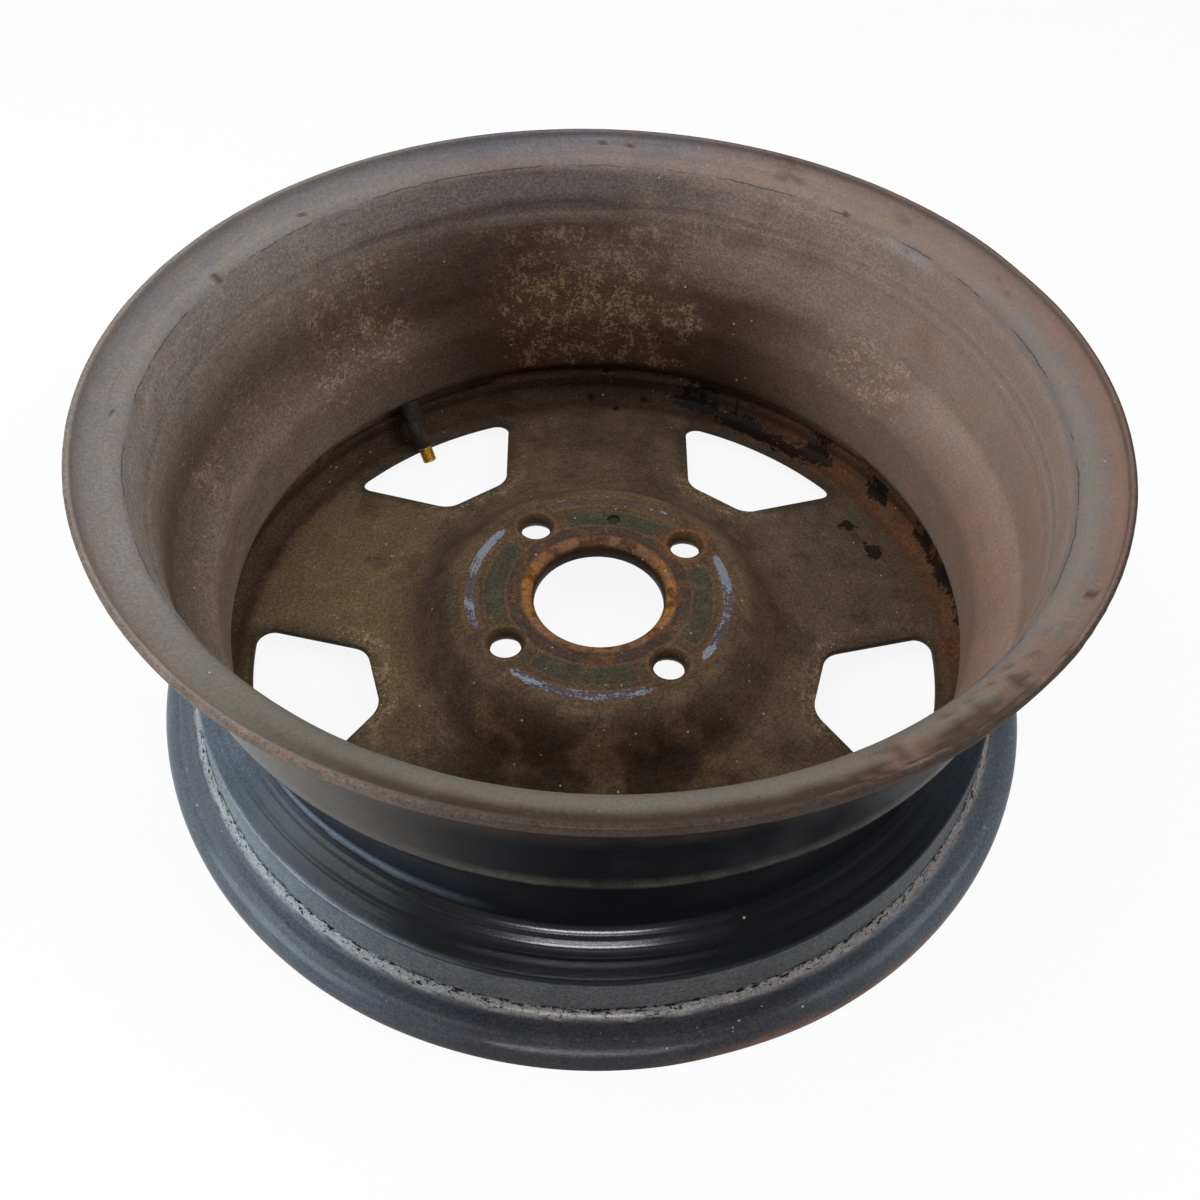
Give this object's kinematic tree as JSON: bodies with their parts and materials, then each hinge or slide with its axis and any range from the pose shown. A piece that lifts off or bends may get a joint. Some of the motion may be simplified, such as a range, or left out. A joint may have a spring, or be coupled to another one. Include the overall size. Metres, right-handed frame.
{
  "type": "steel wheel rim",
  "caption": "Used pressed-steel road wheel lying on its outboard lip, with a dropped-centre rim, a windowed disc, a hub bore with a bolt circle, and a rubber snap-in valve.",
  "frame": {"origin": "centre of the bolt circle in the plane of the face that bears on the hub", "axes": "+Z along the axle line towards the inboard side, up as the wheel lies; +X to the right of the picture"},
  "size_m": [0.4148, 0.4146, 0.1744],
  "materials": {
    "rim_steel": "worn dark paint with surface rust",
    "disc_steel": "surface rust over dark paint",
    "weld_steel": "rusted weld bead",
    "valve_rubber": "aged matt rubber",
    "valve_brass": "dull brass"
  },
  "bodies": {
    "wheel": {"rim": "rim_steel", "wheel_disc": "disc_steel", "disc_welds": "weld_steel", "valve_rubber": "valve_rubber", "valve_stem": "valve_brass", "valve_core": "valve_brass"},
    "pin": {"valve_pin": "valve_brass"}
  },
  "joints": [
    {"name": "valve_press", "type": "slide", "parent": "wheel", "child": "pin", "axis": [-0.3557, 0.4361, 0.8266], "range_m": [0, 0.0012], "stiffness_N_per_m": 900, "springref_m": -0.0022}
  ]
}
